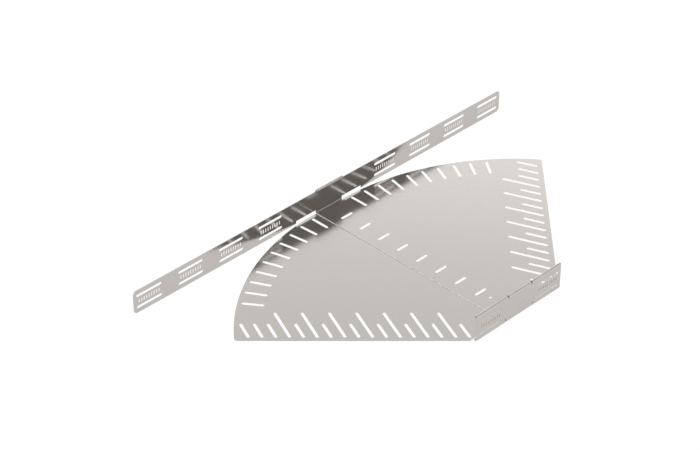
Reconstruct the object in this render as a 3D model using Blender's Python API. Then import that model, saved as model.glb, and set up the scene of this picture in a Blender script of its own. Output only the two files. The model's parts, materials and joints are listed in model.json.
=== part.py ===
"""Cable tray bend, 90 degrees, made to be finished on site.

Three pieces of sheet steel. One long blank is punched flat and then folded: a
floor strip down the middle, a long outer side that is still straight, and a
short inner side with rolled edges. Two floor plates, mirror images of each
other, lie under the floor strip. On site the sides are bent round to follow
the plates.

Metres, +Z up. X runs along the sides, Y runs from the inner side to the outer
side, and X = 0 is the mirror plane. The origin is on the ground, midway
between the outer faces of the two sides.
"""

import math

import bmesh
import bpy
from mathutils import Matrix, Vector

# Sheet and fits
SHEET = 0.0015
FIT_GAP = 0.0003
FOLD_RADIUS = 0.001

# Bend as a whole
BEND_ANGLE = 90.0
OVERALL_WIDTH = 0.5958
STRIP_WIDTH = 0.0852

# Rolled edge along the top of the sides
ROLL_RADIUS = 0.0033
ROLL_RISE = 0.0068
ROLL_TURN = 255.0

# Outer side
OUTER_LENGTH = 1.198
OUTER_HEIGHT = 0.060
OUTER_FOOT_CLEARANCE = 0.001
OUTER_END_RADIUS = 0.011
RELIEF_LENGTH = 0.064
RELIEF_HEIGHT = 0.009

# Inner side
INNER_LENGTH = 0.2764
INNER_FOOT_CLEARANCE = 0.0005
FOOT_TAIL = 0.0015
ROLL_GAP_WIDTH = 0.0086
ROLL_GAP_DEPTH = 0.0015
INNER_RELIEF_WIDTH = 0.0025
INNER_RELIEF_HEIGHT = 0.012
BEND_HOLE_DIAMETER = 0.005
BEND_HOLE_ROWS = 0.0241
BEND_HOLE_HEIGHT = 0.0326

# Punched group in both sides: two long slots and a row of short ones between
GROUP_SLOT_LENGTH = 0.073
GROUP_SLOT_WIDTH = 0.007
GROUP_ROW_SPACING = 0.0303
GROUP_HEIGHT = 0.0308
GROUP_FOLD_CLEAR = 0.0149
GROUP_END_CLEAR = 0.0077
OUTER_GROUP_PITCH = 0.1218
OUTER_GROUP_CLEAR = 0.150
OUTER_GROUP_END = 0.0453
SHORT_SLOT_LENGTH = 0.011
SHORT_SLOT_WIDTH = 0.003
SHORT_SLOT_PITCH = 0.0072
SHORT_SLOT_INSET = 0.006

# Floor strip
MIDDLE_SLOT_LENGTH = 0.035
MIDDLE_SLOT_WIDTH = 0.007
MIDDLE_SLOT_INSET = 0.0597
MIDDLE_SLOT_PITCH = 0.0602
MIDDLE_SLOT_CLEAR = 0.095
INDEX_HOLE_DIAMETER = 0.007

# Floor plates
PLATE_OVERLAP = 0.020
PLATE_INNER_GAP = 0.0123
END_EDGE_START = 0.135
PLATE_CORNER_RADIUS = 0.008
PLATE_NOSE_RADIUS = 0.003
END_SLOT_WIDTH = 0.007
END_SLOT_SHORT = 0.053
END_SLOT_LONG = 0.0963
END_SLOT_PITCH = 0.030
END_SLOT_FIRST = 0.0308
END_SLOT_CLEAR = 0.014
END_SLOT_INSET = 0.012
END_SLOT_LEAN = 22.5
END_SLOT_SHORT_LEAD = 3
RADIAL_SLOT_WIDTH = 0.007
RADIAL_SLOT_LENGTH = 0.0518
RADIAL_SLOT_INSET = 0.010
RADIAL_SLOT_OFFSET = 0.0219
RADIAL_SLOT_STEP = 4.0
RADIAL_SLOT_CLEAR = 8.0

# Fineness of round stretches
SLOT_END_STEPS = 6
SHORT_END_STEPS = 4
HOLE_STEPS = 16
CORNER_STEPS = 5
ARC_STEPS = 28
FOLD_STEPS = 5
WELD = 0.000001

# Worked out from the sizes above
HALF_STRIP = STRIP_WIDTH / 2
HALF_SHEET = SHEET / 2
INNER_FACE_Y = -OVERALL_WIDTH / 2
OUTER_FACE_Y = OVERALL_WIDTH / 2 - SHEET
ARC_RADIUS = OUTER_FACE_Y - INNER_FACE_Y
PLATE_TOP = SHEET
STRIP_MID_Z = PLATE_TOP + FIT_GAP + HALF_SHEET
FOLD_MID = FOLD_RADIUS + HALF_SHEET
ROLL_MID = ROLL_RADIUS - HALF_SHEET
OUTER_FOOT_Z = PLATE_TOP + OUTER_FOOT_CLEARANCE
OUTER_TOP_Z = OUTER_FOOT_Z + OUTER_HEIGHT
ROLL_TOP_Z = OUTER_TOP_Z + ROLL_RISE
RELIEF_TOP_Z = PLATE_TOP + INNER_RELIEF_HEIGHT


class FoldPath:
    """The middle of the sheet, seen from the end: straight runs and bends."""

    def __init__(self, y, z, heading, up_side):
        self.runs = []
        self.end = (y, z, math.radians(heading))
        self.length = 0.0
        self.up_side = up_side

    def straight(self, length):
        """Go on straight for a length."""
        y, z, heading = self.end
        self.runs.append((self.length, length, self.end, 0.0))
        self.end = (y + length * math.cos(heading), z + length * math.sin(heading), heading)
        self.length += length

    def bend(self, degrees, radius):
        """Turn through an angle on a radius; a positive angle turns left."""
        turn = math.radians(degrees)
        arc = abs(turn) * radius
        self.runs.append((self.length, arc, self.end, turn))
        self.end = self._along(self.runs[-1], arc)
        self.length += arc

    @staticmethod
    def _along(run, distance):
        """Place and heading at a distance into one run."""
        _, length, (y, z, heading), turn = run
        if turn == 0.0:
            return y + distance * math.cos(heading), z + distance * math.sin(heading), heading
        radius = length / turn
        now = heading + distance / radius
        y += radius * (math.sin(now) - math.sin(heading))
        z -= radius * (math.cos(now) - math.cos(heading))
        return y, z, now

    def place(self, distance, rise):
        """Point at a distance along the path, raised to the sheet's upper side."""
        run = self.runs[0]
        for candidate in self.runs:
            if candidate[0] <= distance:
                run = candidate
        y, z, heading = self._along(run, distance - run[0])
        side = rise * self.up_side
        return y - side * math.sin(heading), z + side * math.cos(heading)

    def cuts(self, steps_per_quarter):
        """Distances at which the flat sheet needs an edge so that it can bend."""
        found = []
        for start, length, _, turn in self.runs:
            if turn == 0.0:
                continue
            steps = max(1, round(abs(turn) / (math.pi / 2) * steps_per_quarter))
            found += [start + length * step / steps for step in range(steps + 1)]
        return found


def outer_path():
    """From the middle of the floor strip up the outer side and round its rolled edge."""
    path = FoldPath(0.0, STRIP_MID_Z, 0.0, 1.0)
    path.straight(OUTER_FACE_Y - FOLD_RADIUS)
    path.bend(90.0, FOLD_MID)
    path.straight(ROLL_TOP_Z - ROLL_RADIUS - path.end[1])
    path.bend(ROLL_TURN, ROLL_MID)
    return path


def inner_path():
    """From the middle of the floor strip up the inner side and round its rolled edge."""
    path = FoldPath(0.0, STRIP_MID_Z, 180.0, -1.0)
    path.straight(-INNER_FACE_Y - SHEET - FOLD_RADIUS)
    path.bend(-90.0, FOLD_MID)
    path.straight(ROLL_TOP_Z - ROLL_RADIUS - path.end[1])
    path.bend(-ROLL_TURN, ROLL_MID)
    return path


def foot_path():
    """From the top of the inner side's relief down and round its rolled foot."""
    path = FoldPath(INNER_FACE_Y + HALF_SHEET, RELIEF_TOP_Z, -90.0, 1.0)
    path.straight(RELIEF_TOP_Z - INNER_FOOT_CLEARANCE - ROLL_RADIUS)
    path.bend(180.0, ROLL_MID)
    path.straight(FOOT_TAIL)
    return path


OUTER = outer_path()
INNER = inner_path()
FOOT = foot_path()
OUTER_WALL_START = OUTER.runs[2][0]
INNER_WALL_START = INNER.runs[2][0]
WALL_START_Z = STRIP_MID_Z + FOLD_MID


def outer_flat(z):
    """Flat distance from the middle of the strip of a height on the outer side."""
    return OUTER_WALL_START + z - WALL_START_Z


def inner_flat(z):
    """Flat distance from the middle of the strip of a height on the inner side."""
    return INNER_WALL_START + z - WALL_START_Z


FOOT_START = inner_flat(RELIEF_TOP_Z)


def places(room, pitch):
    """How many places at a pitch fit in a length, its first end included."""
    return int(room / pitch) + 1


def arc_points(centre, radius, start, stop, steps):
    """Points on an arc, both ends included; angles in radians."""
    points = []
    for step in range(steps + 1):
        angle = start + (stop - start) * step / steps
        points.append(centre + radius * Vector((math.cos(angle), math.sin(angle))))
    return points


def slot_outline(centre, length, width, angle, steps):
    """A slot with round ends; the angle in radians is that of its long axis."""
    along = Vector((math.cos(angle), math.sin(angle)))
    reach = along * (length - width) / 2
    quarter = math.pi / 2
    front = arc_points(centre + reach, width / 2, angle - quarter, angle + quarter, steps)
    back = arc_points(centre - reach, width / 2, angle + quarter, angle + 3 * quarter, steps)
    return front + back


def hole_outline(centre, diameter):
    """A round hole."""
    return arc_points(centre, diameter / 2, 0.0, math.tau, HOLE_STEPS)[:-1]


def rounded(corners):
    """An outline from corners given as (x, y, radius), each rounded by its radius."""
    points = []
    for index, (x, y, radius) in enumerate(corners):
        corner = Vector((x, y))
        if radius == 0.0:
            points.append(corner)
            continue
        before = Vector(corners[index - 1][:2]) - corner
        after = Vector(corners[(index + 1) % len(corners)][:2]) - corner
        half = before.angle(after) / 2
        radius = min(radius, 0.45 * min(before.length, after.length) * math.tan(half))
        centre = corner + (before.normalized() + after.normalized()).normalized() * radius / math.sin(half)
        start = corner + before.normalized() * radius / math.tan(half) - centre
        stop = corner + after.normalized() * radius / math.tan(half) - centre
        sweep = start.angle_signed(stop)
        first = math.atan2(start.y, start.x)
        points += arc_points(centre, radius, first, first - sweep, CORNER_STEPS)
    return points


def punched_group(x, y, length):
    """Two long slots with a row of short slots between them, centred on a point."""
    outlines = []
    for row in (-0.5, 0.5):
        centre = Vector((x, y + row * GROUP_ROW_SPACING))
        outlines.append(slot_outline(centre, length, GROUP_SLOT_WIDTH, 0.0, SLOT_END_STEPS))
    count = places(length - 2 * SHORT_SLOT_INSET, SHORT_SLOT_PITCH)
    for number in range(count):
        shift = (number - (count - 1) / 2) * SHORT_SLOT_PITCH
        centre = Vector((x + shift, y))
        slot = slot_outline(centre, SHORT_SLOT_LENGTH, SHORT_SLOT_WIDTH, math.pi / 2, SHORT_END_STEPS)
        outlines.append(slot)
    return outlines


def centre_blank_corners():
    """Corners of the right half of the flat centre blank, from the inner side outwards."""
    roll_end = -INNER.length
    roll_gap = -inner_flat(ROLL_TOP_Z - ROLL_RADIUS - ROLL_GAP_DEPTH)
    foot_end = -(FOOT_START - FOOT.length)
    relief_side = HALF_STRIP + INNER_RELIEF_WIDTH
    inner_end = INNER_LENGTH / 2
    relief_end = HALF_STRIP + RELIEF_LENGTH
    outer_end = OUTER_LENGTH / 2
    outer_foot = outer_flat(OUTER_FOOT_Z)
    outer_top = outer_flat(OUTER_TOP_Z)
    relief_top = outer_flat(PLATE_TOP + RELIEF_HEIGHT)
    return [
        (HALF_STRIP - ROLL_GAP_WIDTH, roll_end, 0.0),
        (HALF_STRIP - ROLL_GAP_WIDTH, roll_gap, 0.0),
        (HALF_STRIP, roll_gap, 0.0),
        (HALF_STRIP, roll_end, 0.0),
        (inner_end, roll_end, 0.0),
        (inner_end, foot_end, 0.0),
        (relief_side, foot_end, 0.0),
        (relief_side, -FOOT_START, 0.0),
        (HALF_STRIP, -FOOT_START, 0.0),
        (HALF_STRIP, relief_top, 0.0),
        (relief_end, relief_top, 0.0),
        (relief_end, outer_foot, 0.0),
        (outer_end, outer_foot, OUTER_END_RADIUS),
        (outer_end, outer_top, OUTER_END_RADIUS),
        (HALF_STRIP, outer_top, 0.0),
        (HALF_STRIP, OUTER.length, 0.0),
    ]


def centre_blank_holes():
    """Every opening punched in the flat centre blank."""
    outlines = []
    last_group = OUTER_LENGTH / 2 - OUTER_GROUP_END
    inner_start = HALF_STRIP + GROUP_FOLD_CLEAR
    inner_stop = INNER_LENGTH / 2 - GROUP_END_CLEAR
    for side in (-1, 1):
        for number in range(places(last_group - OUTER_GROUP_CLEAR, OUTER_GROUP_PITCH)):
            x = side * (last_group - number * OUTER_GROUP_PITCH)
            outlines += punched_group(x, outer_flat(PLATE_TOP + GROUP_HEIGHT), GROUP_SLOT_LENGTH)
        x = side * (inner_start + inner_stop) / 2
        outlines += punched_group(x, -inner_flat(PLATE_TOP + GROUP_HEIGHT), inner_stop - inner_start)
        for row in (-0.5, 0.5):
            z = PLATE_TOP + BEND_HOLE_HEIGHT + row * BEND_HOLE_ROWS
            outlines.append(hole_outline(Vector((side * HALF_STRIP, -inner_flat(z))), BEND_HOLE_DIAMETER))
    first = OUTER_FACE_Y - MIDDLE_SLOT_INSET
    for number in range(places(first - INNER_FACE_Y - MIDDLE_SLOT_CLEAR, MIDDLE_SLOT_PITCH)):
        centre = Vector((0.0, first - number * MIDDLE_SLOT_PITCH))
        outlines.append(slot_outline(centre, MIDDLE_SLOT_LENGTH, MIDDLE_SLOT_WIDTH, 0.0, SLOT_END_STEPS))
    outlines.append(hole_outline(centre - Vector((0.0, MIDDLE_SLOT_PITCH / 2)), INDEX_HOLE_DIAMETER))
    return outlines


def end_edge():
    """A point on the right plate's end edge, its direction outwards and its inward normal."""
    angle = math.radians(90.0 - BEND_ANGLE / 2)
    start = Vector((END_EDGE_START, INNER_FACE_Y))
    return start, Vector((math.cos(angle), math.sin(angle))), Vector((-math.sin(angle), math.cos(angle)))


def fold_corner():
    """Where the right plate's arc has its centre: the inner side's right fold line."""
    return Vector((HALF_STRIP, INNER_FACE_Y))


def arc_meets_edge(inset):
    """Where the outer arc meets the end edge, both moved inwards by an inset."""
    start, along, inward = end_edge()
    origin = start + inward * inset - fold_corner()
    middle = origin.dot(along)
    radius = ARC_RADIUS - inset
    travel = -middle + math.sqrt(middle ** 2 - origin.length_squared + radius ** 2)
    return start + inward * inset + along * travel


def plate_outline():
    """Outline of the right floor plate, anticlockwise from the corner under the outer side."""
    start, along, inward = end_edge()
    hidden_x = HALF_STRIP - PLATE_OVERLAP
    inner_y = INNER_FACE_Y + PLATE_INNER_GAP
    nose = start + along * PLATE_INNER_GAP / along.y
    round_centre = arc_meets_edge(PLATE_CORNER_RADIUS)
    towards = round_centre - fold_corner()
    arc_start = math.atan2(towards.y, towards.x)
    edge_side = math.atan2(-inward.y, -inward.x)
    outline = rounded([
        (hidden_x, OUTER_FACE_Y, 0.0),
        (hidden_x, inner_y, 0.0),
        (nose.x, nose.y, PLATE_NOSE_RADIUS),
        (round_centre.x, round_centre.y, 0.0),
    ])[:-1]
    outline += arc_points(round_centre, PLATE_CORNER_RADIUS, edge_side, arc_start, CORNER_STEPS)
    outline += arc_points(fold_corner(), ARC_RADIUS, arc_start, math.pi / 2, ARC_STEPS)[1:]
    return outline


def end_slots():
    """The leaning slots along the right plate's end edge: a few short, then long and short in turn."""
    outlines = []
    start, along, inward = end_edge()
    corner = arc_meets_edge(0.0)
    lean = math.atan2(inward.y, inward.x) - math.radians(END_SLOT_LEAN)
    axis = Vector((math.cos(lean), math.sin(lean)))
    room = (corner - start).length - END_SLOT_FIRST - END_SLOT_CLEAR
    for number in range(places(room, END_SLOT_PITCH)):
        long_one = number >= END_SLOT_SHORT_LEAD and (number - END_SLOT_SHORT_LEAD) % 2 == 0
        length = END_SLOT_LONG if long_one else END_SLOT_SHORT
        foot = corner - along * (END_SLOT_FIRST + number * END_SLOT_PITCH) + inward * END_SLOT_INSET
        outlines.append(slot_outline(foot + axis * length / 2, length, END_SLOT_WIDTH, lean, SLOT_END_STEPS))
    return outlines


def radial_slots():
    """The fan of slots along the right plate's arc."""
    outlines = []
    reach = ARC_RADIUS - RADIAL_SLOT_INSET - RADIAL_SLOT_LENGTH / 2
    for number in range(places(BEND_ANGLE / 2 - RADIAL_SLOT_CLEAR, RADIAL_SLOT_STEP)):
        turn = math.radians(number * RADIAL_SLOT_STEP)
        outward = Vector((math.sin(turn), math.cos(turn)))
        across = Vector((math.cos(turn), -math.sin(turn)))
        centre = fold_corner() + outward * reach + across * RADIAL_SLOT_OFFSET
        lean = math.pi / 2 - turn
        outlines.append(slot_outline(centre, RADIAL_SLOT_LENGTH, RADIAL_SLOT_WIDTH, lean, SLOT_END_STEPS))
    return outlines


def mirrored(points):
    """An outline mirrored in the plane X = 0."""
    return [Vector((-point.x, point.y)) for point in reversed(points)]


def punch_sheet(name, outline, holes, middle_z):
    """A flat sheet with openings, cut from a 2D curve and welded into one closed mesh."""
    curve = bpy.data.curves.new(name + "_outline", "CURVE")
    curve.dimensions = "2D"
    curve.fill_mode = "BOTH"
    curve.extrude = HALF_SHEET
    for points in [outline] + holes:
        spline = curve.splines.new("POLY")
        spline.points.add(len(points) - 1)
        for target, point in zip(spline.points, points):
            target.co = (point.x, point.y, 0.0, 1.0)
        spline.use_cyclic_u = True
    carrier = bpy.data.objects.new(name + "_outline", curve)
    carrier.location.z = middle_z
    bpy.context.scene.collection.objects.link(carrier)
    bpy.context.view_layer.update()
    evaluated = carrier.evaluated_get(bpy.context.evaluated_depsgraph_get())
    mesh = bpy.data.meshes.new_from_object(evaluated)
    mesh.transform(carrier.matrix_world)
    mesh.name = name
    bpy.data.objects.remove(carrier)
    shape = bmesh.new()
    shape.from_mesh(mesh)
    bmesh.ops.remove_doubles(shape, verts=shape.verts, dist=WELD)
    bmesh.ops.recalc_face_normals(shape, faces=shape.faces)
    shape.to_mesh(mesh)
    shape.free()
    return mesh


def folded_place(x, flat_y, rise):
    """Where a point of the flat centre blank lies once the blank is folded."""
    in_strip = abs(x) <= HALF_STRIP + WELD
    if flat_y >= 0.0:
        if in_strip:
            return OUTER.place(flat_y, rise)
        return OUTER_FACE_Y + HALF_SHEET - rise, WALL_START_Z + flat_y - OUTER_WALL_START
    if in_strip or -flat_y >= FOOT_START:
        return INNER.place(-flat_y, rise)
    return FOOT.place(FOOT_START + flat_y, rise)


def fold_sheet(mesh):
    """Fold the flat centre blank: score it along every bend, then move its points."""
    lines = OUTER.cuts(FOLD_STEPS)
    lines += [-cut for cut in INNER.cuts(FOLD_STEPS)]
    lines += [cut - FOOT_START for cut in FOOT.cuts(FOLD_STEPS)]
    shape = bmesh.new()
    shape.from_mesh(mesh)
    for flat_y in lines:
        everything = shape.verts[:] + shape.edges[:] + shape.faces[:]
        point = Vector((0.0, flat_y, 0.0))
        bmesh.ops.bisect_plane(shape, geom=everything, dist=WELD, plane_co=point, plane_no=(0.0, 1.0, 0.0))
    for vertex in shape.verts:
        x, flat_y, rise = vertex.co
        y, z = folded_place(x, flat_y, rise)
        vertex.co = (x, y, z)
    bmesh.ops.recalc_face_normals(shape, faces=shape.faces)
    shape.to_mesh(mesh)
    shape.free()


def steel(name, colour, roughness):
    """Zinc-coated sheet steel."""
    material = bpy.data.materials.new(name)
    material.use_nodes = True
    shader = material.node_tree.nodes["Principled BSDF"]
    shader.inputs["Base Color"].default_value = (*colour, 1.0)
    shader.inputs["Metallic"].default_value = 1.0
    shader.inputs["Roughness"].default_value = roughness
    return material


def add_part(collection, name, mesh, material):
    """Make a named object of a finished mesh."""
    mesh.materials.append(material)
    part = bpy.data.objects.new(name, mesh)
    collection.objects.link(part)
    return part


def build_centre_sheet(collection):
    """The punched and folded sheet: floor strip, outer side and inner side."""
    right = centre_blank_corners()
    left = [(-x, y, radius) for x, y, radius in reversed(right)]
    mesh = punch_sheet("centre_sheet", rounded(right + left), centre_blank_holes(), 0.0)
    fold_sheet(mesh)
    add_part(collection, "centre_sheet", mesh, steel("centre_sheet_steel", (0.55, 0.53, 0.50), 0.25))


def build_floor_plates(collection):
    """The left floor plate, and the right one as its mirror image."""
    slots = [mirrored(slot) for slot in end_slots() + radial_slots()]
    left = punch_sheet("left_floor_plate", mirrored(plate_outline()), slots, HALF_SHEET)
    right = left.copy()
    right.name = "right_floor_plate"
    right.transform(Matrix.Scale(-1.0, 4, (1.0, 0.0, 0.0)))
    right.flip_normals()
    add_part(collection, "left_floor_plate", left, steel("left_plate_steel", (0.57, 0.55, 0.52), 0.25))
    add_part(collection, "right_floor_plate", right, steel("right_plate_steel", (0.57, 0.55, 0.52), 0.25))


def main():
    """Clear the scene and build the three sheets."""
    for item in list(bpy.data.objects):
        bpy.data.objects.remove(item)
    collection = bpy.data.collections.new("cable_tray_bend")
    bpy.context.scene.collection.children.link(collection)
    build_centre_sheet(collection)
    build_floor_plates(collection)


main()
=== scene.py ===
"""Studio scene of a flat 90 degree cable tray bend for bending on site.

The bend is three pieces of strip-galvanised steel sheet: a centre sheet that carries both sides, and
two slotted floor plates under it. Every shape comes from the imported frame. This script gives the sheets
their finish, stands them on a pale table under soft studio light and sets the camera.
"""

import json
import logging
import math
from dataclasses import dataclass, field
from enum import Enum
from typing import Any

import bmesh
import bpy
from mathutils import Matrix, Vector

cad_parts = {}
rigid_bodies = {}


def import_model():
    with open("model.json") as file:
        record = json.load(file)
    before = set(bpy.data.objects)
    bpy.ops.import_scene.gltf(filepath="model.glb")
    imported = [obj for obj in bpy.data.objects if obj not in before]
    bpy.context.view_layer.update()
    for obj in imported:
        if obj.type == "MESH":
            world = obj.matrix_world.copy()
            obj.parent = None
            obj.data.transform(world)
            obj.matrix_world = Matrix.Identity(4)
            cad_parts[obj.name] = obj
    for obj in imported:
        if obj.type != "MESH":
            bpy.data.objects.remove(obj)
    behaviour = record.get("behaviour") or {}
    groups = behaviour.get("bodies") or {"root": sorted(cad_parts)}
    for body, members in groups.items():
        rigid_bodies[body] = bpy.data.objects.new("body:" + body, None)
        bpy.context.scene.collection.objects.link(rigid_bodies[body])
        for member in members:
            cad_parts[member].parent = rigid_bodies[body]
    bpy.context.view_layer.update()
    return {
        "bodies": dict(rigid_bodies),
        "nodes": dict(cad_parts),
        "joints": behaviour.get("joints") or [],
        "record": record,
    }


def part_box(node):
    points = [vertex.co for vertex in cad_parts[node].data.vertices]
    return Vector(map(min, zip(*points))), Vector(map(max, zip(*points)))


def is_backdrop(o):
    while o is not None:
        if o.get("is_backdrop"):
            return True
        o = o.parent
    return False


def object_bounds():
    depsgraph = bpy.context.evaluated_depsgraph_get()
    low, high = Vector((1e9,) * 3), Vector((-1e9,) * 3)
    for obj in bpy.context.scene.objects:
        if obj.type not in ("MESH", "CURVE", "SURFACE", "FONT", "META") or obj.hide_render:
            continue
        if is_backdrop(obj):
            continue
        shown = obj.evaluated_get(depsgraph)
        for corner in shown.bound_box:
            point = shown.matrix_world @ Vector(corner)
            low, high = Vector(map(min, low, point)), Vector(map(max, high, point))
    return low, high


LOG = logging.getLogger("cable_tray_bend")
MILLIMETRE = 0.001
WHITE = "#FFFFFF"


class Grain(Enum):
    """The way the mill's rolling lines run over a sheet, as their turn from the X axis in degrees."""

    ALONG_SIDES = 0.0
    ACROSS_LEFT_END = 45.0
    ACROSS_RIGHT_END = -45.0


def linear(code: str) -> tuple[float, float, float, float]:
    """Turns an sRGB hex colour into linear light.

    Args:
        code: six hex digits, with or without a leading hash.

    Returns:
        Red, green, blue and a full alpha.
    """
    digits = code.lstrip("#")
    shares = [int(digits[i:i + 2], 16) / 255 for i in (0, 2, 4)]
    red, green, blue = [s / 12.92 if s <= 0.04045 else ((s + 0.055) / 1.055) ** 2.4 for s in shares]
    return red, green, blue, 1.0


def rise(height: float) -> float:
    """The upward share of a direction that points this many degrees above the horizon."""
    return math.sin(math.radians(height))


def closeness(angle: float) -> float:
    """The dot product of two directions that are this many degrees apart."""
    return math.cos(math.radians(angle))


def direction(heading: float, height: float = 0.0) -> Vector:
    """The unit vector with this heading and this height above the horizon, both in degrees."""
    turn, level = math.radians(heading), closeness(height)
    return Vector((level * math.cos(turn), level * math.sin(turn), rise(height)))


def add_node(tree: bpy.types.NodeTree, kind: str, links: dict[Any, Any] | None = None,
             values: dict[Any, Any] | None = None, **settings: Any) -> bpy.types.Node:
    """Adds one node with its settings, socket values and incoming links.

    Args:
        tree: the node tree that it goes into.
        kind: Blender's name for the node type.
        links: input socket to the output socket that feeds it.
        values: input socket to its value.
        settings: the node's own properties.

    Returns:
        The new node.
    """
    node = tree.nodes.new(kind)
    for name, value in settings.items():
        setattr(node, name, value)
    for name, value in (values or {}).items():
        node.inputs[name].default_value = value
    for name, source in (links or {}).items():
        tree.links.new(source, node.inputs[name])
    return node


def empty_material(name: str) -> bpy.types.Material:
    """Adds a material whose node tree has nothing in it yet."""
    material = bpy.data.materials.new(name)
    material.use_nodes = True
    material.node_tree.nodes.clear()
    return material


@dataclass(frozen=True)
class GalvanisedSheet:
    """Hot-dip galvanised steel strip, skin-passed: zinc rolled so smooth that it reflects like a
    slightly milky mirror, with faint rolling lines and hardly any spangle. The sheared and punched
    edges of the floor sheets are bare steel, and matt, in a near-white colour that is a painted
    highlight."""

    name: str
    grain: Grain
    zinc: str = "#C0BBB7"
    worn_zinc: str = "#BAB5B0"
    roughness: float = 0.18
    roughness_swing: float = 0.03
    line_mm: float = 3.0
    line_stretch: float = 40.0
    line_detail: float = 3.0
    line_grit: float = 0.6
    spangle_mm: float = 9.0
    spangle_share: float = 0.25
    bump_mm: float = 0.004
    bump_strength: float = 0.2
    # Near-white bare steel: a painted highlight on the floor sheets' cut edges.
    cut_steel_and_painted_highlight: str = "#F0EEEB"
    cut_roughness: float = 0.6
    edge_starts: float = 0.3
    edge_full: float = 0.1
    strip_top_mm: float = 3.3
    fold_fade_mm: float = 0.2

    def rolling_lines(self, tree: bpy.types.NodeTree,
                      place: bpy.types.NodeSocket) -> bpy.types.NodeSocket:
        """Draws the lines that the mill's rolls leave along the strip.

        Args:
            tree: the sheet's node tree.
            place: Object coordinates.

        Returns:
            The lines, from 0 to 1.
        """
        # They are about 0.2 mm apart on the strip. They are drawn at 3 mm, because the picture has 2 mm
        # to a pixel, and stretched forty times along the strip.
        stretch = add_node(tree, "ShaderNodeMapping", {"Vector": place},
                           {"Rotation": (0.0, 0.0, math.radians(self.grain.value)),
                            "Scale": (self.line_stretch, 1.0, 1.0)}, vector_type="TEXTURE")
        lines = add_node(tree, "ShaderNodeTexNoise", {"Vector": stretch.outputs["Vector"]},
                         {"Scale": 1 / (self.line_mm * MILLIMETRE), "Detail": self.line_detail,
                          "Roughness": self.line_grit})
        return lines.outputs["Fac"]

    def cut_edges(self, tree: bpy.types.NodeTree,
                  place: bpy.types.NodeSocket) -> bpy.types.NodeSocket:
        """Finds the cut edges of the floor sheets and of their slots, which get matt bare steel and a
        painted highlight.

        Args:
            tree: the sheet's node tree.
            place: Object coordinates.

        Returns:
            1 on a cut edge and 0 elsewhere.
        """
        # A face is a cut edge where the upward share of its normal, squared, falls from edge_starts to
        # edge_full: the sheets lie flat there, so their edges stand upright.
        facing = add_node(tree, "ShaderNodeNewGeometry").outputs["True Normal"]
        upright = add_node(tree, "ShaderNodeSeparateXYZ", {"Vector": facing}).outputs["Z"]
        square = add_node(tree, "ShaderNodeMath", {0: upright, 1: upright}, operation="MULTIPLY")
        sheared = add_node(tree, "ShaderNodeMapRange", {"Value": square.outputs["Value"]},
                           {"From Min": self.edge_starts, "From Max": self.edge_full})
        # Only edges below the top of the floor strip get the matt steel and its painted highlight; the
        # two sides above keep the zinc finish on their edges.
        height = add_node(tree, "ShaderNodeSeparateXYZ", {"Vector": place}).outputs["Z"]
        floor = add_node(tree, "ShaderNodeMapRange", {"Value": height},
                         {"From Min": (self.strip_top_mm + self.fold_fade_mm) * MILLIMETRE,
                          "From Max": self.strip_top_mm * MILLIMETRE})
        both = add_node(tree, "ShaderNodeMath",
                        {0: sheared.outputs["Result"], 1: floor.outputs["Result"]},
                        operation="MULTIPLY")
        return both.outputs["Value"]

    def material(self) -> bpy.types.Material:
        """Builds the sheet's material.

        Returns:
            Rolled zinc on the faces, bare matt steel with a painted highlight on the floor sheets' cut
            edges.
        """
        material = empty_material(self.name)
        tree = material.node_tree
        place = add_node(tree, "ShaderNodeTexCoord").outputs["Object"]
        lines = self.rolling_lines(tree, place)
        # Minimised spangle: crystals that the skin pass has nearly levelled.
        spangle = add_node(tree, "ShaderNodeTexVoronoi", {"Vector": place},
                           {"Scale": 1 / (self.spangle_mm * MILLIMETRE)}, feature="F1")
        tone = add_node(tree, "ShaderNodeSeparateColor", {"Color": spangle.outputs["Color"]})
        blend = add_node(tree, "ShaderNodeMix", {"A": lines, "B": tone.outputs["Red"]},
                         {"Factor": self.spangle_share}).outputs["Result"]
        colour = add_node(tree, "ShaderNodeMix", {"Factor": blend},
                          {"A": linear(self.zinc), "B": linear(self.worn_zinc)}, data_type="RGBA")
        rough = add_node(tree, "ShaderNodeMapRange", {"Value": blend},
                         {"To Min": self.roughness - self.roughness_swing,
                          "To Max": self.roughness + self.roughness_swing})
        # Shears and punches leave bare, matt steel along the floor sheets and in their slots; its
        # near-white colour is a painted highlight that lightens these edges.
        cut = self.cut_edges(tree, place)
        surface = add_node(tree, "ShaderNodeMix", {"Factor": cut, "A": colour.outputs["Result"]},
                           {"B": linear(self.cut_steel_and_painted_highlight)}, data_type="RGBA")
        finish = add_node(tree, "ShaderNodeMix", {"Factor": cut, "A": rough.outputs["Result"]},
                          {"B": self.cut_roughness})
        bump = add_node(tree, "ShaderNodeBump", {"Height": lines},
                        {"Strength": self.bump_strength, "Distance": self.bump_mm * MILLIMETRE})
        shader = add_node(tree, "ShaderNodeBsdfPrincipled",
                          {"Base Color": surface.outputs["Result"],
                           "Roughness": finish.outputs["Result"], "Normal": bump.outputs["Normal"]},
                          {"Metallic": 1.0})
        add_node(tree, "ShaderNodeOutputMaterial", {"Surface": shader.outputs["BSDF"]})
        return material


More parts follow.
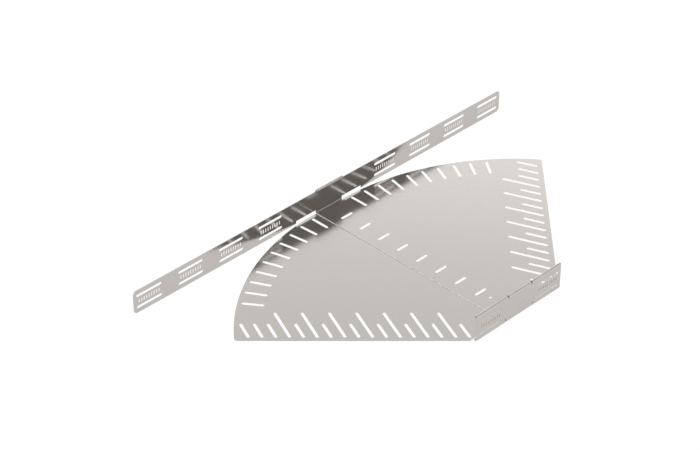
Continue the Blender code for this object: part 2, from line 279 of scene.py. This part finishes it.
@dataclass(frozen=True)
class TableFinish:
    """Matt white laminate, lit to paper white: only the bend's soft shadow is seen on it."""

    name: str = "matt_white_laminate"
    lit_share: float = 0.10
    glow: float = 0.92
    grain_mm: float = 2.5
    dull: float = 0.78
    bright: float = 0.82

    def material(self) -> bpy.types.Material:
        """Builds the table's material.

        Returns:
            A material that is white to the camera and in the metal, and plain matt to all else.
        """
        material = empty_material(self.name)
        tree = material.node_tree
        path = add_node(tree, "ShaderNodeLightPath").outputs
        seen = add_node(tree, "ShaderNodeMath", {0: path["Is Camera Ray"], 1: path["Is Glossy Ray"]},
                        operation="MAXIMUM", use_clamp=True)
        shown = add_node(tree, "ShaderNodeMath",
                         {0: seen.outputs["Value"], 1: path["Is Transmission Ray"]},
                         operation="MAXIMUM", use_clamp=True)
        place = add_node(tree, "ShaderNodeTexCoord").outputs["Object"]
        grain = add_node(tree, "ShaderNodeTexNoise", {"Vector": place},
                         {"Scale": 1 / (self.grain_mm * MILLIMETRE)})
        tone = add_node(tree, "ShaderNodeMapRange", {"Value": grain.outputs["Fac"]},
                        {"To Min": self.dull, "To Max": self.bright})
        matt = add_node(tree, "ShaderNodeBsdfDiffuse", {"Color": tone.outputs["Result"]})
        # The thin matt part of the paper white takes the shadow, and the glow is even.
        thin = add_node(tree, "ShaderNodeBsdfDiffuse",
                        values={"Color": (self.lit_share,) * 3 + (1.0,)})
        glow = add_node(tree, "ShaderNodeEmission",
                        values={"Color": linear(WHITE), "Strength": self.glow})
        paper = add_node(tree, "ShaderNodeAddShader",
                         {0: thin.outputs["BSDF"], 1: glow.outputs["Emission"]})
        mix = add_node(tree, "ShaderNodeMixShader",
                       {0: shown.outputs["Value"], 1: matt.outputs["BSDF"], 2: paper.outputs["Shader"]})
        add_node(tree, "ShaderNodeOutputMaterial", {"Surface": mix.outputs["Shader"]})
        return material


@dataclass
class SheetPiece:
    """One folded or flat piece of galvanised sheet, as the frame holds it."""

    node: str
    finish: GalvanisedSheet

    def dress(self, nodes: dict[str, bpy.types.Object]) -> None:
        """Gives the piece its finish.

        Args:
            nodes: the frame's pieces by name.
        """
        material = self.finish.material()
        for slot in nodes[self.node].material_slots:
            slot.material = material
        low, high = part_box(self.node)
        size = [round((b - a) / MILLIMETRE, 1) for a, b in zip(low, high)]
        LOG.info("%s: %s, %s mm", self.node, self.finish.name, size)


@dataclass
class CentreSheet:
    """The folded centre sheet: a long outer side, a floor strip and a short inner side in one piece."""

    sheet: SheetPiece = field(default_factory=lambda: SheetPiece(
        "centre_sheet", GalvanisedSheet("hot_dip_galvanised_centre", Grain.ALONG_SIDES)))

    def build(self, frame: dict[str, Any]) -> None:
        """Dresses the centre sheet."""
        self.sheet.dress(frame["nodes"])


@dataclass
class FloorPlates:
    """The two slotted sector plates under the centre sheet."""

    left: SheetPiece = field(default_factory=lambda: SheetPiece(
        "left_floor_plate", GalvanisedSheet("hot_dip_galvanised_left", Grain.ACROSS_LEFT_END)))
    right: SheetPiece = field(default_factory=lambda: SheetPiece(
        "right_floor_plate", GalvanisedSheet("hot_dip_galvanised_right", Grain.ACROSS_RIGHT_END)))

    def build(self, frame: dict[str, Any]) -> None:
        """Dresses both plates."""
        self.left.dress(frame["nodes"])
        self.right.dress(frame["nodes"])


@dataclass
class Table:
    """The flat pale table that the bend lies on. Sizes in metres."""

    side: float = 30.0
    drop: float = 0.0002
    finish: TableFinish = field(default_factory=TableFinish)

    def build(self) -> None:
        """Lays the table just under the object."""
        low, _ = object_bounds()
        mesh = bpy.data.meshes.new("table")
        shape = bmesh.new()
        bmesh.ops.create_grid(shape, x_segments=1, y_segments=1, size=self.side / 2,
                              matrix=Matrix.Translation((0, 0, low[2] - self.drop)))
        shape.to_mesh(mesh)
        shape.free()
        mesh.materials.append(self.finish.material())
        table = bpy.data.objects.new("table", mesh)
        bpy.context.scene.collection.objects.link(table)
        table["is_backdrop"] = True


@dataclass(frozen=True)
class DarkEnd:
    """The dark end of the room, a round patch with a soft rim. Angles in degrees."""

    heading: float = -45.5
    height: float = 34.0
    inner: float = 9.0
    outer: float = 13.5
    level: float = 0.30


@dataclass(frozen=True)
class Window:
    """A long low window, brightest over the middle of its width. Angles in degrees."""

    heading: float = 45.0
    foot: float = 20.0
    top: float = 33.7
    fade: float = 1.5
    full_within: float = 60.0
    gone_at: float = 90.0
    level: float = 1.8


@dataclass(frozen=True)
class Horizon:
    """The brightening towards the foot of the walls. Angles in degrees, the foot as a rise."""

    top: float = 24.0
    foot_rise: float = 0.1
    level: float = 1.6


@dataclass
class Room:
    """The bright room that the polished zinc mirrors. All else sees it as plain white."""

    level: float = 0.93
    dark_end: DarkEnd = DarkEnd()
    window: Window = Window()
    horizon: Horizon = Horizon()

    def window_light(self, tree: bpy.types.NodeTree, look: bpy.types.NodeSocket,
                     height: bpy.types.NodeSocket) -> bpy.types.NodeSocket:
        """Shapes the window.

        Args:
            tree: the world's node tree.
            look: the direction looked in.
            height: the upward share of that direction.

        Returns:
            1 in the window and 0 beside it.
        """
        window = self.window
        behind = add_node(tree, "ShaderNodeVectorMath", {0: look}, {1: direction(window.heading)},
                          operation="DOT_PRODUCT")
        facing = add_node(tree, "ShaderNodeMapRange", {"Value": behind.outputs["Value"]},
                          {"From Min": closeness(window.gone_at),
                           "From Max": closeness(window.full_within)}, interpolation_type="SMOOTHSTEP")
        upper = add_node(tree, "ShaderNodeMapRange", {"Value": height},
                         {"From Min": rise(window.top + window.fade),
                          "From Max": rise(window.top - window.fade)})
        lower = add_node(tree, "ShaderNodeMapRange", {"Value": height},
                         {"From Min": rise(window.foot - window.fade),
                          "From Max": rise(window.foot + window.fade)})
        band = add_node(tree, "ShaderNodeMath",
                        {0: upper.outputs["Result"], 1: lower.outputs["Result"]}, operation="MULTIPLY")
        glare = add_node(tree, "ShaderNodeMath",
                         {0: facing.outputs["Result"], 1: band.outputs["Value"]}, operation="MULTIPLY")
        return glare.outputs["Value"]

    def build(self) -> None:
        """Makes the world: white to the camera, and the room to the metal."""
        world = bpy.data.worlds.new("studio")
        bpy.context.scene.world = world
        world.use_nodes = True
        tree = world.node_tree
        tree.nodes.clear()
        look = add_node(tree, "ShaderNodeTexCoord").outputs["Generated"]
        height = add_node(tree, "ShaderNodeSeparateXYZ", {"Vector": look}).outputs["Z"]
        skyline = add_node(tree, "ShaderNodeMapRange", {"Value": height},
                           {"From Min": rise(self.horizon.top), "From Max": self.horizon.foot_rise,
                            "To Min": self.level, "To Max": self.horizon.level})
        wall = add_node(tree, "ShaderNodeMapRange",
                        {"Value": self.window_light(tree, look, height),
                         "To Min": skyline.outputs["Result"]}, {"To Max": self.window.level})
        dark = self.dark_end
        nearness = add_node(tree, "ShaderNodeVectorMath", {0: look},
                            {1: direction(dark.heading, dark.height)}, operation="DOT_PRODUCT")
        tone = add_node(tree, "ShaderNodeMapRange",
                        {"Value": nearness.outputs["Value"], "To Min": wall.outputs["Result"]},
                        {"From Min": closeness(dark.outer), "From Max": closeness(dark.inner),
                         "To Max": dark.level}, interpolation_type="SMOOTHSTEP")
        mirrored = add_node(tree, "ShaderNodeBackground", {"Strength": tone.outputs["Result"]},
                            {"Color": linear(WHITE)})
        paper = add_node(tree, "ShaderNodeBackground", values={"Color": linear(WHITE), "Strength": 1.0})
        path = add_node(tree, "ShaderNodeLightPath")
        mix = add_node(tree, "ShaderNodeMixShader",
                       {0: path.outputs["Is Glossy Ray"], 1: paper.outputs["Background"],
                        2: mirrored.outputs["Background"]})
        add_node(tree, "ShaderNodeOutputWorld", {"Surface": mix.outputs["Shader"]})


@dataclass(frozen=True)
class SoftLamp:
    """A square soft lamp that shines at the middle of the table, in metres and watts."""

    name: str
    place: tuple[float, float, float]
    side: float
    power: float

    def build(self) -> None:
        """Hangs the lamp in its place."""
        data = bpy.data.lights.new(self.name, "AREA")
        data.shape = "SQUARE"
        data.size = self.side
        data.energy = self.power
        lamp = bpy.data.objects.new(self.name, data)
        lamp.location = self.place
        lamp.rotation_euler = (-lamp.location).to_track_quat("-Z", "Y").to_euler()
        bpy.context.scene.collection.objects.link(lamp)


@dataclass
class Studio:
    """The pale table in its bright room, with a soft lamp above and a small one beside the table."""

    table: Table = field(default_factory=Table)
    room: Room = field(default_factory=Room)
    soft_box: SoftLamp = SoftLamp("soft_box", (-0.6, 0.5, 3.0), side=2.5, power=12.0)
    side_light: SoftLamp = SoftLamp("side_light", (-3.0, 0.1, 0.36), side=0.4, power=38.0)

    def build(self) -> None:
        """Builds the whole studio."""
        for part in (self.table, self.room, self.soft_box, self.side_light):
            part.build()
        bpy.context.scene.view_settings.view_transform = "Standard"
        LOG.info("studio: table, room and two soft lamps")


@dataclass
class PhotoCamera:
    """The camera that the photograph was taken with, solved from the picture."""

    place: tuple[float, float, float] = (-2.94474, -2.718625, 2.8905)
    heading: float = -45.0
    drop: float = 34.932
    lens: float = 111.53
    film: float = 36.0
    reach: float = 60.0

    def build(self) -> None:
        """Adds the camera and makes it the scene's own."""
        data = bpy.data.cameras.new("photo_camera")
        data.lens = self.lens
        data.sensor_width = self.film
        data.clip_end = self.reach
        camera = bpy.data.objects.new("photo_camera", data)
        camera.location = self.place
        camera.rotation_euler = (math.radians(90 - self.drop), 0.0, math.radians(self.heading))
        bpy.context.scene.collection.objects.link(camera)
        bpy.context.scene.camera = camera
        LOG.info("camera: %s mm lens, %s degrees down", self.lens, self.drop)


def main() -> None:
    """Builds the scene, piece by piece, and logs each sheet's size."""
    logging.basicConfig(level=logging.INFO, format="%(message)s")
    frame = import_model()
    PhotoCamera().build()
    FloorPlates().build(frame)
    CentreSheet().build(frame)
    Studio().build()


if __name__ == "__main__":
    main()
